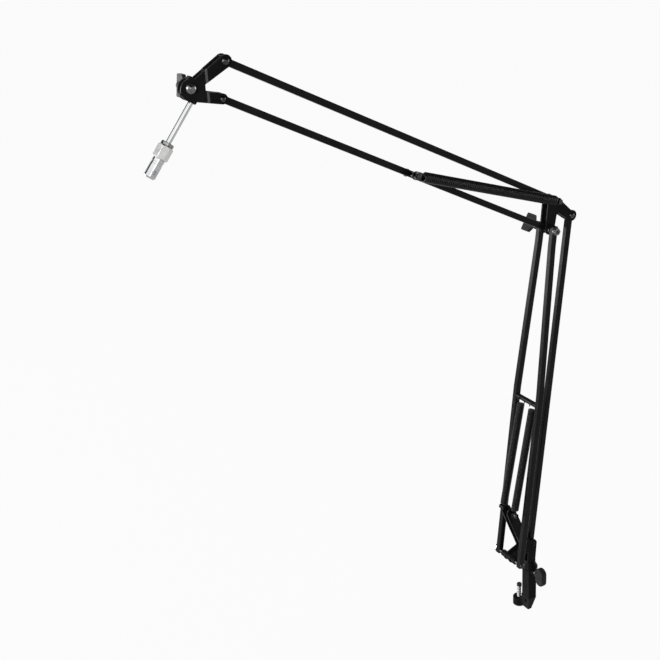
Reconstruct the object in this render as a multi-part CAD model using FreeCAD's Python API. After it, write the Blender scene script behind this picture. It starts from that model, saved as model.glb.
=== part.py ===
# Spring-balanced microphone boom arm on a desk clamp.
# Two parallelogram linkages of square tube fold in the plane y = 0 and point to -X.
# The saved origin is the middle of the face that presses on the desk top, on the clamp screw's axis.
import FreeCAD
import Part
import math
import os

V = FreeCAD.Vector
X = V(1, 0, 0)
Y = V(0, 1, 0)
Z = V(0, 0, 1)

# Square tube of both arms
tube = 9.5
tube_wall = 1.2
tube_corner = 1.5
tube_overrun = 7.0
pair_foot = 4.6

# Lower arm: a pair of tubes in front, one tube behind
lower_length = 581.0
lower_lean_angle = 6.8
rear_run = 43.4
rear_rise = 14.6
pair_spread = 57.4
pair_top_spread = 31.6
pair_bend_radius = 200.0
pair_straight_top = 24.0
crossbar_height = 291.5
crossbar_radius = 4.3
crossbar_to_bend = 16.0

# Upper arm: one tube above the other
upper_length = 593.0
upper_rise_angle = 27.3
top_run = 8.4
top_rise = 45.6
spring_stud_reach = 282.0

# Sheet metal plates and the gap that a tube has between them
sheet = 2.5
side_gap = 0.5

# Fits: a turning pin, a fixed pin, the pivot where each linkage is left open, flat faces that slide
running = 0.05
snug = 0.02
open_pivot = 0.25
face_gap = 0.1

# Pivot hardware
bolt_radius = 3.0
hex_flats = 10.0
nut_height = 5.0
washer_radius = 6.0
washer = 1.2
bolt_stub = 1.5
rivet_dome = 3.0
front_head_radius = 4.5
front_head_dome = 3.0
front_slot = 1.2
front_slot_depth = 1.2
cap_flats = 11.0
cap_dome = 4.0
post_radius = 2.2
post_nut_flats = 7.0
post_nut = 3.0
elbow_nut_height = 4.0
elbow_bolt_stub = 0.6

# Clamp casting, seen from the side: the jaws point to +Y
clamp_width = 16.5
spine_depth = 19.0
jaw_past_screw = 9.0
jaw_corner = 5.0
top_jaw_height = 8.0
clamp_opening = 69.5
screw_from_spine = 18.5
boss_radius = 11.0
boss_height = 15.5
foot_from = 52.0
foot_half = 3.5
foot_back = 2.0
foot_lift = 5.0
casting_round = 1.2
pocket_y = 1.0
pocket_z = -61.5
pocket_width = 6.0
pocket_height = 8.0
pocket_floor = 4.1

# Clamp screw and its pad
screw_radius = 4.0
pad_radius = 4.4
pad_height = 5.0
pad_top = -42.5
screw_tip_radius = 2.5
screw_tip = 3.0
screw_below_jaw = 2.0
screw_key_flats = 4.0
screw_key_depth = 4.0

# Lock screw that holds the spindle
lock_height = 3.9
lock_radius = 3.0
lock_boss_radius = 6.0
lock_boss = 5.0
lock_shank_shown = 4.5
paddle_neck_radius = 5.5
paddle_neck = 4.0
paddle_height = 34.0
paddle_depth = 20.0
paddle_thickness = 11.0

# Base: spindle, collar and yoke
spindle_radius = 5.0
spindle_length = 46.0
socket_floor = 2.0
collar_radius = 14.0
collar_top_radius = 8.5
collar_height = 13.9
collar_skirt = 3.0
tenon_radius = 3.8
tenon_head = 1.8
pivot_above_web = 22.0
yoke_body_half = 9.0
yoke_ear = 6.8
yoke_hub = 9.0
yoke_knee = 9.8
yoke_foot = 6.6
yoke_notch = 6.0
barrel_radius = 5.7
barrel_half = 17.5
sleeve_radius = 4.2
anchor_run = -3.0
anchor_rise = 93.0
anchor_ear = 8.5
knee_run = 32.0
knee_rise = 11.0
stub_radius = 3.0
stub_head_radius = 4.2
stub_head = 1.6
stub_gap = 1.0
stub_shown = 4.5

# Elbow plates
elbow_ear = 8.4
elbow_rear_ear = 8.6
elbow_arm_end = 7.0
elbow_arm_in = 1.8
elbow_crown = 10.2
elbow_crown_in = 3.5
elbow_notch = 3.0

# Head plates, from the lower head pivot
tilt_run = -40.2
tilt_rise = 17.7
head_disc = 14.3
head_disc_offset = 1.7
head_arm_half = 6.2
head_crown = 8.2
head_lower_half = 6.8
head_knuckle_half = 7.2
head_notch_x = -21.5
head_notch_half = 9.0
head_notch_round = 3.0
joggle_from = -20.5
joggle_run = 3.0
block_thickness = 8.4
tilt_head_radius = 7.2
tilt_head_dome = 4.0
top_rivet_radius = 5.2
lower_rivet_radius = 4.0
pin_head_radius = 4.6

# Swivel block and the rod with the microphone thread
rod_radius = 3.6
rod_tilt_angle = 38.0
rod_offset = 10.7
block_wall = 1.8
block_back = 9.0
block_up = 13.0
block_down = 14.3
block_round = 2.0
rod_shown = 57.0
collar_ring_radius = 8.6
collar_ring = 4.6
hub_radius = 6.0
adapter_nut_flats = 18.6
adapter_nut_length = 18.2
adapter_nut_angle = 45.0
stud_radius = 7.94
stud_length = 27.0
stud_chamfer = 2.0
waist_from = 5.0
waist = 2.5
waist_depth = 0.35
cross_hole_radius = 2.6
cross_hole_from_tip = 9.0
cross_hole_depth = 3.0

# Wing nuts
elbow_wing_height = 31.0
tilt_wing_height = 28.0
wing_span = 29.0
wing_thickness = 5.5
wing_lobe = 16.0
wing_flank = 5.5
wing_hub_radius = 7.0
wing_hub_top_radius = 5.4
wing_wall = 4.0
wing_round = 2.2
elbow_wing_angle = 30.0
tilt_wing_angle = 8.0

# Extension springs
lower_wire = 1.8
lower_coil_radius = 5.6
lower_curls = 29.5
lower_spring_y = 14.6
upper_wire = 2.0
upper_coil_radius = 6.8
upper_curls = 34.5
hook_gap = 0.5
hook_bend = 2.0
coil_to_pin = 8.5
coil_to_crossbar = 10.0
coil_to_stud = 14.0
spring_side_gap = 1.6

# Places worked out from the driving sizes
spine_half = spine_depth / 2
screw_y = spine_half + screw_from_spine
spine_top = top_jaw_height
web_bottom = spine_top + face_gap + collar_height
plate_in = tube / 2 + side_gap
plate_out = plate_in + sheet
tilt_in = block_thickness / 2 + running
tilt_out = tilt_in + sheet
pair_half = pair_spread / 2
pair_top_half = pair_top_spread / 2
pair_outer = pair_half + tube / 2
pair_inner = pair_half - tube / 2
pair_top_outer = pair_top_half + tube / 2
pair_top_inner = pair_top_half - tube / 2
hole = bolt_radius + running


def leaning(degrees):
    angle = math.radians(degrees)
    return V(math.sin(angle), 0, math.cos(angle))


lower_axis = leaning(lower_lean_angle)
upper_axis = leaning(upper_rise_angle - 90)
rear_step = V(rear_run, 0, rear_rise)
top_step = V(top_run, 0, top_rise)

front_pivot = V(-rear_run, 0, web_bottom + pivot_above_web)
rear_pivot = front_pivot + rear_step
anchor = front_pivot + V(anchor_run, 0, anchor_rise)
crossbar = front_pivot + lower_axis * crossbar_height
elbow = front_pivot + lower_axis * lower_length
elbow_rear = elbow + rear_step
elbow_top = elbow + top_step
spring_stud = elbow + upper_axis * spring_stud_reach
head_lower = elbow + upper_axis * upper_length
head_top = head_lower + top_step
tilt_pivot = head_lower + V(tilt_run, 0, tilt_rise)

upper_spring_y = -(plate_out + spring_side_gap + upper_coil_radius + upper_wire / 2)
stub_end = lower_spring_y + lower_wire / 2 + stub_shown
hardware_end = upper_spring_y - upper_wire / 2 - stub_gap


def save(name, *solids):
    """Write one sub-part, moved so that the origin lies on the clamp screw's axis."""
    shape = solids[0] if len(solids) == 1 else Part.makeCompound(list(solids))
    shape = shape.copy()
    shape.translate(V(0, -screw_y, 0))
    shape.exportStep("parts/" + name + ".step")


def pin_y(centre, radius, y_from, y_to):
    return Part.makeCylinder(radius, y_to - y_from, V(centre.x, y_from, centre.z), Y)


def ring_y(centre, outer, inner, y_from, y_to):
    return pin_y(centre, outer, y_from, y_to).cut(pin_y(centre, inner, y_from, y_to))


def dome_y(centre, radius, rise, y_seat, side):
    """A domed head whose flat side lies at y_seat and which rises to the given side of it."""
    ball = (radius ** 2 + rise ** 2) / (2 * rise)
    bottom = math.degrees(math.asin((ball - rise) / ball))
    middle = V(centre.x, y_seat - side * (ball - rise), centre.z)
    return Part.makeSphere(ball, middle, Y * side, bottom, 90, 360)


def hexagon_y(centre, flats, y_from, y_to):
    corner = flats / math.sqrt(3)
    angles = [math.radians(60 * k) for k in range(7)]
    points = [V(centre.x + corner * math.cos(a), y_from, centre.z + corner * math.sin(a)) for a in angles]
    return Part.Face(Part.makePolygon(points)).extrude(Y * (y_to - y_from))


def hex_nut_y(centre, flats, y_from, y_to, bore):
    """A hexagon nut with its corners turned off at both faces."""
    corner = flats / math.sqrt(3)
    bevel = corner - flats / 2
    barrel = pin_y(centre, corner, y_from, y_to)
    barrel = barrel.makeChamfer(bevel / 2, [e for e in barrel.Edges if isinstance(e.Curve, Part.Circle)])
    nut = hexagon_y(centre, flats, y_from, y_to).common(barrel)
    return nut.cut(pin_y(centre, bore, y_from, y_to))


def link(start, start_radius, end, end_radius, y_from, y_to):
    """A flat bar with two round ends, from y_from to y_to."""
    along = end - start
    heading = math.atan2(along.z, along.x)
    spread = math.acos((start_radius - end_radius) / along.Length)

    def rim(centre, radius, angle):
        return V(centre.x + radius * math.cos(angle), y_from, centre.z + radius * math.sin(angle))

    a = rim(start, start_radius, heading + spread)
    b = rim(start, start_radius, heading - spread)
    c = rim(end, end_radius, heading - spread)
    d = rim(end, end_radius, heading + spread)
    edges = [
        Part.Arc(a, rim(start, start_radius, heading + math.pi), b).toShape(),
        Part.LineSegment(b, c).toShape(),
        Part.Arc(c, rim(end, end_radius, heading), d).toShape(),
        Part.LineSegment(d, a).toShape(),
    ]
    return Part.Face(Part.Wire(edges)).extrude(Y * (y_to - y_from))


def box(x_from, x_to, y_from, y_to, z_from, z_to):
    return Part.makeBox(x_to - x_from, y_to - y_from, z_to - z_from, V(x_from, y_from, z_from))


def joined(solids):
    return solids[0].fuse(solids[1:]).removeSplitter()


def round_notches(shape, radius):
    """Round the sharp corners of a plate that run along Y."""
    sharp = []
    for edge in shape.Edges:
        first, last = edge.Vertexes[0].Point, edge.Vertexes[-1].Point
        if abs((last - first).normalize().dot(Y)) < 0.999:
            continue
        middle = (first + last) * 0.5
        normals = [f.normalAt(*f.Surface.parameter(middle)) for f in shape.ancestorsOfType(edge, Part.Face)]
        if len(normals) == 2 and normals[0].dot(normals[1]) < math.cos(math.radians(5)):
            sharp.append(edge)
    return shape.makeFillet(radius, sharp)


def rounded_square(side, corner):
    reach = side / 2
    flat = reach - corner
    diagonal = flat + corner * math.sqrt(0.5)
    edges = []
    for quarter in range(4):
        turn = FreeCAD.Rotation(Z, 90 * quarter)
        a, b = turn.multVec(V(reach, -flat, 0)), turn.multVec(V(reach, flat, 0))
        c, d = turn.multVec(V(diagonal, diagonal, 0)), turn.multVec(V(flat, reach, 0))
        edges += [Part.LineSegment(a, b).toShape(), Part.Arc(b, c, d).toShape()]
    return Part.Wire(edges)


def tube_profiles():
    bore = tube - 2 * tube_wall
    bore_corner = max(tube_corner - tube_wall, tube_wall / 4)
    return rounded_square(tube, tube_corner), rounded_square(bore, bore_corner)


def placed(shape, start, direction):
    """Turn a shape built along Z about Y so that it runs along direction from start."""
    lean = math.degrees(math.atan2(direction.x, direction.z))
    shape.Placement = FreeCAD.Placement(start, FreeCAD.Rotation(Y, lean))
    return shape


def straight_tube(first_pivot, last_pivot):
    along = (last_pivot - first_pivot).normalize()
    length = (last_pivot - first_pivot).Length + 2 * tube_overrun
    outer, bore = [Part.Face(w).extrude(Z * length) for w in tube_profiles()]
    return placed(outer.cut(bore), first_pivot - along * tube_overrun, along)


def drilled(shape, centre, radius):
    reach = pair_outer + tube
    return shape.cut(pin_y(centre, radius, -reach, reach))


def bent_tube(side):
    """One tube of the front pair: it bends inwards above the crossbar and ends parallel at the elbow."""
    bend_low = crossbar_height + crossbar_to_bend
    bend_high = lower_length - pair_straight_top
    y_low, y_high = side * pair_half, side * pair_top_half
    slope = (y_high - y_low) / (bend_high - bend_low)
    turn = math.atan(abs(slope))
    cut_back = pair_bend_radius * math.tan(turn / 2)
    slant = V(0, y_high - y_low, bend_high - bend_low).normalize()
    low, high = V(0, y_low, bend_low), V(0, y_high, bend_high)
    bisect = (slant - Z).normalize()
    sag = pair_bend_radius * (1 / math.cos(turn / 2) - 1)
    stops = [V(0, y_low, -pair_foot), low - Z * cut_back, low + slant * cut_back,
             high - slant * cut_back, high + Z * cut_back, V(0, y_high, lower_length + tube_overrun)]
    path = Part.Wire([
        Part.LineSegment(stops[0], stops[1]).toShape(),
        Part.Arc(stops[1], low + bisect * sag, stops[2]).toShape(),
        Part.LineSegment(stops[2], stops[3]).toShape(),
        Part.Arc(stops[3], high - bisect * sag, stops[4]).toShape(),
        Part.LineSegment(stops[4], stops[5]).toShape(),
    ])
    solids = []
    for profile in tube_profiles():
        profile.translate(stops[0])
        solids.append(path.makePipeShell([profile], True, False))
    return placed(solids[0].cut(solids[1]), front_pivot, lower_axis)


def wing_nut(seat, height, turn_degrees, centre):
    """A tall wing nut along +Y, its flat seat at y = seat, its wings turned from upright."""
    hub = Part.makeCone(wing_hub_radius, wing_hub_top_radius, height - wing_wall, V(0, 0, 0), Y)
    half = wing_span / 2
    low = height - wing_lobe
    outline = [(low - wing_flank, wing_hub_top_radius), (low, half), (height, half),
               (height, -half), (low, -half), (low - wing_flank, -wing_hub_top_radius)]
    corners = [V(-wing_thickness / 2, y, z) for y, z in outline]
    wings = Part.Face(Part.makePolygon(corners + corners[:1])).extrude(X * wing_thickness)
    tips = [e for e in wings.Edges if e.BoundBox.XLength > wing_thickness / 2]
    wings = wings.makeFillet(wing_round, [e for e in tips if abs(e.CenterOfMass.z) > wing_hub_radius])
    nut = joined([hub, wings]).cut(Part.makeCylinder(hole, height - wing_wall, V(0, 0, 0), Y))
    nut.Placement = FreeCAD.Placement(V(centre.x, seat, centre.z), FreeCAD.Rotation(Y, turn_degrees))
    return nut


def rivet(centre, head_radius, half_width, shank):
    """A pin through both plates with a dome on each outer face."""
    parts = [pin_y(centre, shank, -half_width, half_width)]
    for side in (1, -1):
        parts.append(dome_y(centre, head_radius, rivet_dome, side * half_width, side))
    return joined(parts)


def rectangle_z(half_x, y_from, y_to, z):
    points = [V(-half_x, y_from, z), V(half_x, y_from, z), V(half_x, y_to, z), V(-half_x, y_to, z)]
    return Part.makePolygon(points + points[:1])


def upright(shape):
    return [e for e in shape.Edges if e.BoundBox.XLength + e.BoundBox.YLength < face_gap]


def clamp_frame():
    """The cast C: spine with the spindle socket, top jaw, tapering foot, a boss for each screw."""
    half = clamp_width / 2
    sole = -clamp_opening - boss_height
    spine = box(-half, half, -spine_half, spine_half, -foot_from, spine_top)
    jaw = box(-half, half, -spine_half, screw_y + jaw_past_screw, 0, spine_top)
    tips = [e for e in upright(jaw) if e.CenterOfMass.y > screw_y]
    jaw = jaw.makeFillet(jaw_corner, tips)
    body = joined([spine, jaw])
    corners = [e for e in upright(body) if abs(e.CenterOfMass.y) < spine_half + face_gap]
    body = body.makeFillet(casting_round, [e for e in corners if e.CenterOfMass.y < 0])
    foot = Part.makeLoft([rectangle_z(half, -spine_half, spine_half, -foot_from),
                          rectangle_z(foot_half, -foot_back, screw_y, sole + foot_lift)], True, True)
    boss = Part.makeCylinder(boss_radius, boss_height, V(0, screw_y, sole), Z)
    rims = [e for e in boss.Edges if isinstance(e.Curve, Part.Circle)]
    boss = boss.makeFillet(casting_round, rims)
    lock_face = V(0, -spine_half - lock_boss, lock_height)
    lock = Part.makeCylinder(lock_boss_radius, spine_half + lock_boss, lock_face, Y)
    lock = lock.common(box(-half, half, lock_face.y, 0, -foot_from, spine_top))
    body = joined([body, foot, boss, lock])
    socket_depth = spindle_length + socket_floor
    socket_floor_at = V(0, 0, spine_top - socket_depth)
    body = body.cut(Part.makeCylinder(spindle_radius + running, socket_depth, socket_floor_at, Z))
    body = body.cut(Part.makeCylinder(screw_radius + running, clamp_opening, V(0, screw_y, sole), Z))
    body = body.cut(Part.makeCylinder(lock_radius + running, spine_half + lock_boss, lock_face, Y))
    for x_from, x_to in ((pocket_floor, half), (-half, -pocket_floor)):
        body = body.cut(box(x_from, x_to, pocket_y - pocket_width / 2, pocket_y + pocket_width / 2,
                            pocket_z - pocket_height / 2, pocket_z + pocket_height / 2))
    return body


def clamp_screw():
    """Threaded screw: a reduced tip turns in the pad, a hexagon recess takes the key."""
    sole = -clamp_opening - boss_height - screw_below_jaw
    shoulder = pad_top - pad_height
    centre = V(0, screw_y, 0)
    body = Part.makeCylinder(screw_radius, shoulder - face_gap - sole, centre + Z * sole, Z)
    tip = Part.makeCylinder(screw_tip_radius, screw_tip + face_gap, centre + Z * (shoulder - face_gap), Z)
    corner = screw_key_flats / math.sqrt(3)
    angles = [math.radians(60 * k) for k in range(7)]
    points = [centre + V(corner * math.cos(a), corner * math.sin(a), sole) for a in angles]
    return joined([body, tip]).cut(Part.Face(Part.makePolygon(points)).extrude(Z * screw_key_depth))


def clamp_pad():
    centre = V(0, screw_y, pad_top - pad_height)
    pad = Part.makeCylinder(pad_radius, pad_height, centre, Z)
    rims = [e for e in pad.Edges if isinstance(e.Curve, Part.Circle)]
    pad = pad.makeChamfer(pad_height / 6, [e for e in rims if e.CenterOfMass.z > pad_top - face_gap])
    return pad.cut(Part.makeCylinder(screw_tip_radius + running, screw_tip + face_gap, centre, Z))


def lock_shank():
    start = -spine_half - lock_boss - lock_shank_shown - paddle_neck
    tip = -spindle_radius - face_gap
    return Part.makeCylinder(lock_radius, tip - start, V(0, start, lock_height), Y)


def lock_paddle():
    """Flat oval thumb grip with a round neck, pressed on the lock screw's shank."""
    neck_end = -spine_half - lock_boss - lock_shank_shown
    middle = neck_end - paddle_neck - paddle_depth / 2 + paddle_depth / 10
    half = paddle_thickness / 2
    end = Z * (paddle_height - paddle_depth) / 2
    grip = link(end * -1, paddle_depth / 2, end, paddle_depth / 2, -half, half)
    grip = grip.makeFillet(half / 2, [e for e in grip.Edges if e.BoundBox.YLength < half])
    grip.Placement = FreeCAD.Placement(V(0, middle, lock_height), FreeCAD.Rotation(Z, 90))
    neck = Part.makeCylinder(paddle_neck_radius, paddle_neck + paddle_depth / 4,
                             V(0, neck_end - paddle_neck - paddle_depth / 4, lock_height), Y)
    socket = Part.makeCylinder(lock_radius + snug, paddle_neck, V(0, neck_end - paddle_neck, lock_height), Y)
    return joined([grip, neck]).cut(socket)


def base_spindle():
    """Turned spindle: pin in the clamp, bell-shaped collar, tenon riveted over the yoke's web."""
    bottom = spine_top + face_gap
    pin = Part.makeCylinder(spindle_radius, spindle_length, V(0, 0, bottom - spindle_length), Z)
    skirt = Part.makeCylinder(collar_radius, collar_skirt, V(0, 0, bottom), Z)
    cone_from = V(0, 0, bottom + collar_skirt)
    cone = Part.makeCone(collar_radius, collar_top_radius, collar_height - collar_skirt, cone_from, Z)
    tenon = Part.makeCylinder(tenon_radius, sheet + tenon_head, V(0, 0, web_bottom), Z)
    head = Part.makeCone(plate_in - side_gap, tenon_radius, tenon_head, V(0, 0, web_bottom + sheet), Z)
    return joined([pin, skirt, cone, tenon, head])


def base_yoke():
    """Bent sheet yoke: two cheeks with arms to the front pivot and the spring anchors, a web below."""
    knee = front_pivot + V(knee_run, 0, knee_rise)
    foot = V(0, 0, web_bottom + yoke_foot)
    cheeks = []
    for y_from in (plate_in, -plate_out):
        y_to = y_from + sheet
        cheek = joined([
            link(anchor, anchor_ear, knee, yoke_knee, y_from, y_to),
            link(front_pivot, yoke_ear, rear_pivot, yoke_hub, y_from, y_to),
            link(knee, yoke_knee, rear_pivot, yoke_hub, y_from, y_to),
            link(rear_pivot, yoke_hub, foot, yoke_foot, y_from, y_to),
            box(-yoke_body_half, yoke_foot, y_from, y_to, web_bottom, foot.z),
            box(-yoke_body_half, 0, y_from, y_to, web_bottom, rear_pivot.z),
        ])
        cheeks.append(round_notches(cheek, yoke_notch / 4))
    web = box(-yoke_body_half, yoke_foot, -plate_out, plate_out, web_bottom, web_bottom + sheet)
    yoke = joined(cheeks + [web])
    yoke = yoke.cut(Part.makeCylinder(tenon_radius + snug, sheet, V(0, 0, web_bottom), Z))
    for centre, radius in ((front_pivot, barrel_radius), (rear_pivot, bolt_radius), (anchor, stub_radius)):
        yoke = drilled(yoke, centre, radius + snug)
    return yoke


def spring_stubs():
    """A headed stub on each cheek for the lower springs' hooks."""
    stubs = []
    for side in (1, -1):
        shank = [side * plate_in, side * stub_end]
        head = [side * stub_end, side * (stub_end + stub_head)]
        stubs.append(joined([pin_y(anchor, stub_radius, min(shank), max(shank)),
                             pin_y(anchor, stub_head_radius, min(head), max(head))]))
    return stubs


def crossbar_rod():
    """Round bar between the front tubes, drilled across for the hook of each lower spring."""
    bar = pin_y(crossbar, crossbar_radius, -pair_half, pair_half)
    along = (crossbar - anchor).normalize()
    across = V(along.z, 0, -along.x)
    for side in (1, -1):
        start = crossbar - across * 2 * crossbar_radius + Y * side * lower_spring_y
        bar = bar.cut(Part.makeCylinder(lower_wire / 2 + hook_gap, 4 * crossbar_radius, start, across))
    return bar


def pair_tube(side):
    shape = bent_tube(side)
    shape = drilled(drilled(shape, front_pivot, bolt_radius + snug), elbow, hole)
    bar = sorted([0, side * pair_half])
    return shape.cut(pin_y(crossbar, crossbar_radius + snug, bar[0], bar[1]))


def front_bolt():
    """Slotted bolt of the front pivot, from the near tube through the barrel to the far nut."""
    head_seat = -pair_outer
    head = dome_y(front_pivot, front_head_radius, front_head_dome, head_seat, -1)
    top = head_seat - front_head_dome
    slot_half = front_slot / 2
    slot = box(front_pivot.x - hex_flats, front_pivot.x + hex_flats, top, top + front_slot_depth,
               front_pivot.z - slot_half, front_pivot.z + slot_half)
    shank = pin_y(front_pivot, bolt_radius, head_seat, pair_outer + nut_height - face_gap)
    return joined([shank, head]).cut(slot)


def front_nut():
    """Domed cap nut on the far end of the front bolt."""
    seat = pair_outer + nut_height
    dome = dome_y(front_pivot, cap_flats / 2 - washer / 2, cap_dome, seat, 1)
    return joined([hex_nut_y(front_pivot, cap_flats, pair_outer, seat, bolt_radius + snug), dome])


def elbow_plate(side):
    y_from = plate_in if side > 0 else -plate_out
    y_to = y_from + sheet
    across = (elbow_rear - elbow_top).normalize()
    inward = V(across.z, 0, -across.x)
    crown = elbow_top + inward * elbow_crown_in
    arm_end = elbow_rear + inward * elbow_arm_in
    plate = joined([link(crown, elbow_crown, elbow, elbow_ear, y_from, y_to),
                    link(crown, elbow_crown, arm_end, elbow_arm_end, y_from, y_to),
                    pin_y(elbow_rear, elbow_rear_ear, y_from, y_to)])
    plate = round_notches(plate, elbow_notch)
    for centre in (elbow, elbow_rear, elbow_top):
        plate = drilled(plate, centre, bolt_radius + snug)
    return plate


def head_plate(side):
    """V-shaped cheek of the head: an outline cut from sheet that steps in at the tilt bolt."""
    disc = tilt_pivot - Z * head_disc_offset
    depth = plate_out + sheet
    reach = head_disc + upper_length
    notch_x = head_lower.x + head_notch_x
    outline = joined([
        pin_y(disc, head_disc, 0, depth),
        link(tilt_pivot, head_arm_half, head_top, head_crown, 0, depth),
        link(head_lower, head_lower_half, disc - Z * head_knuckle_half, head_knuckle_half, 0, depth),
        box(disc.x, notch_x, 0, depth, disc.z - head_notch_half, disc.z + head_notch_half),
    ])
    outline = round_notches(outline, head_notch_round)
    step = head_lower.x + joggle_from
    low = tilt_pivot.z - reach
    inner = [(disc.x - reach, tilt_in), (step, tilt_in)]
    inner += [(step + joggle_run, plate_in), (disc.x + reach, plate_in)]
    points = [V(x, y, low) for x, y in inner] + [V(x, y + sheet, low) for x, y in reversed(inner)]
    bent = Part.Face(Part.makePolygon(points + points[:1])).extrude(Z * 2 * reach)
    plate = outline.common(bent)
    for centre in (tilt_pivot, head_lower, head_top):
        plate = drilled(plate, centre, bolt_radius + snug)
    return plate if side > 0 else plate.mirror(V(0, 0, 0), Y)


def tilted(shape):
    """Turn a piece built with the rod pointing straight down about the tilt pivot."""
    shape.Placement = FreeCAD.Placement(tilt_pivot, FreeCAD.Rotation(Y, rod_tilt_angle))
    return shape


rod_at = V(rod_offset, 0, 0)
rod_end = -block_down - rod_shown
ring_end = rod_end - collar_ring
adapter_nut_end = ring_end - adapter_nut_length
stud_end = adapter_nut_end - stud_length


def swivel_block():
    """Block between the head plates: the tilt bolt passes beside the rod that it grips."""
    half = block_thickness / 2
    block = box(-block_back, rod_offset + rod_radius + block_wall, -half, half, -block_down, block_up)
    block = block.makeFillet(block_round, [e for e in block.Edges if e.BoundBox.YLength > half])
    block = block.cut(Part.makeCylinder(hole, block_thickness, V(0, -half, 0), Y))
    bore = Part.makeCylinder(rod_radius + running, block_up + block_down, rod_at - Z * block_down, Z)
    return tilted(block.cut(bore))


def mic_rod():
    top = block_up - block_wall
    bottom = adapter_nut_end + block_wall
    return tilted(Part.makeCylinder(rod_radius, top - bottom, rod_at + Z * bottom, Z))


def lock_collar():
    ring = Part.makeCylinder(collar_ring_radius, collar_ring, rod_at + Z * ring_end, Z)
    return tilted(ring.cut(Part.makeCylinder(rod_radius + snug, collar_ring, rod_at + Z * ring_end, Z)))


def adapter_nut():
    """Hexagon lock nut that turns on the adapter's hub, with its corners turned off at both ends."""
    low = rod_at + Z * (adapter_nut_end + face_gap)
    length = adapter_nut_length - 2 * face_gap
    corner = adapter_nut_flats / math.sqrt(3)
    barrel = Part.makeCylinder(corner, length, low, Z)
    rims = [e for e in barrel.Edges if isinstance(e.Curve, Part.Circle)]
    barrel = barrel.makeChamfer(corner - adapter_nut_flats / 2, rims)
    angles = [math.radians(adapter_nut_angle + 60 * k) for k in range(7)]
    points = [low + V(corner * math.cos(a), corner * math.sin(a), 0) for a in angles]
    nut = Part.Face(Part.makePolygon(points)).extrude(Z * length).common(barrel)
    return tilted(nut.cut(Part.makeCylinder(hub_radius + running, length, low, Z)))


def thread_adapter():
    """Microphone thread of 5/8 inch with a waist and a small cross hole, on a hub inside the lock nut."""
    hub = Part.makeCylinder(hub_radius, adapter_nut_length, rod_at + Z * adapter_nut_end, Z)
    stud = Part.makeCylinder(stud_radius, stud_length, rod_at + Z * stud_end, Z)
    rims = [e for e in stud.Edges if isinstance(e.Curve, Part.Circle)]
    stud = stud.makeChamfer(stud_chamfer, [e for e in rims if e.CenterOfMass.z < stud_end + stud_chamfer])
    waist_low = rod_at + Z * (adapter_nut_end - waist_from - waist)
    groove = Part.makeCylinder(stud_radius, waist, waist_low, Z)
    stud = stud.cut(groove.cut(Part.makeCylinder(stud_radius - waist_depth, waist, waist_low, Z)))
    hole_at = V(rod_offset, -stud_radius, stud_end + cross_hole_from_tip)
    stud = stud.cut(Part.makeCylinder(cross_hole_radius, cross_hole_depth, hole_at, Y))
    bore_low = adapter_nut_end + block_wall
    bore = Part.makeCylinder(rod_radius + snug, ring_end - bore_low, rod_at + Z * bore_low, Z)
    return tilted(joined([hub, stud]).cut(bore))


def biarc(start, start_way, end, end_way):
    """Two arcs that leave start and reach end along the given directions."""
    across = end - start
    ways = start_way + end_way
    lead = 2 * (1 - start_way.dot(end_way))
    pull = across.dot(ways)
    reach = (math.sqrt(pull ** 2 + lead * across.dot(across)) - pull) / lead
    corner_a, corner_b = start + start_way * reach, end - end_way * reach
    joint = (corner_a + corner_b) * 0.5
    arcs = []
    for a, corner, b in ((start, corner_a, joint), (joint, corner_b, end)):
        weight = (b - a).Length / (2 * reach)
        arcs.append(Part.Arc(a, (a + corner * (2 * weight) + b) * (1 / (2 + 2 * weight)), b))
    return arcs


def hook_round(pin_radius, wire):
    """Stops of a hook that lies round a pin along Y; each is a place and a direction."""
    reach = pin_radius + hook_gap + wire / 2
    return [(V(-reach, 0, wire), Z * -1), (V(-reach, 0, 0), Z * -1),
            (V(0, 0, -reach), X), (V(reach, 0, 0), Z)]


def hook_through(bar_radius, wire):
    """Stops of a hook that passes along X through a hole in a bar along Y."""
    flat = bar_radius + hook_gap
    reach = flat + hook_bend
    return [(V(-reach, 0, hook_bend + wire), Z * -1), (V(-reach, 0, hook_bend), Z * -1),
            (V(-flat, 0, 0), X), (V(flat, 0, 0), X), (V(reach, 0, hook_bend), Z)]


def spring_path(length, hooks, rooms, coil_radius, curls):
    """A close approximation of a coil along Z with a hook at each end."""
    low, high = rooms[0], length - rooms[1]
    pitch = (high - low) / curls

    def on_coil(turn):
        angle = 2 * math.pi * (turn + 0.25)
        place = V(coil_radius * math.cos(angle), coil_radius * math.sin(angle), low + pitch * turn)
        way = V(-math.sin(angle), math.cos(angle), pitch / (2 * math.pi * coil_radius)).normalize()
        return place, way

    quarters = int(round(curls * 4))
    stops = hooks[0] + [on_coil(k / 4) for k in range(quarters + 1)]
    for place, way in reversed(hooks[1]):
        stops.append((V(place.x, -place.y, length - place.z), V(-way.x, way.y, way.z)))
    curves = []
    for (a, a_way), (b, b_way) in zip(stops, stops[1:]):
        straight = (b - a).normalize().dot(a_way) > math.cos(math.radians(0.1))
        curves += [Part.LineSegment(a, b)] if straight else biarc(a, a_way, b, b_way)
    return curves


def least_gap(curves, wire):
    """Least distance between stretches of the wire that are not neighbours, less its diameter."""
    points, walked = [], []
    total = 0.0
    for curve in curves:
        length = curve.length()
        for k in range(4):
            points.append(curve.value(curve.parameterAtDistance(length * k / 4, curve.FirstParameter)))
            walked.append(total + length * k / 4)
        total += length
    window = 80
    gaps = [points[i].distanceToPoint(points[j]) for i in range(len(points))
            for j in range(i + 1, min(i + window, len(points))) if walked[j] - walked[i] > 4 * wire]
    return min(gaps) - wire


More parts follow.
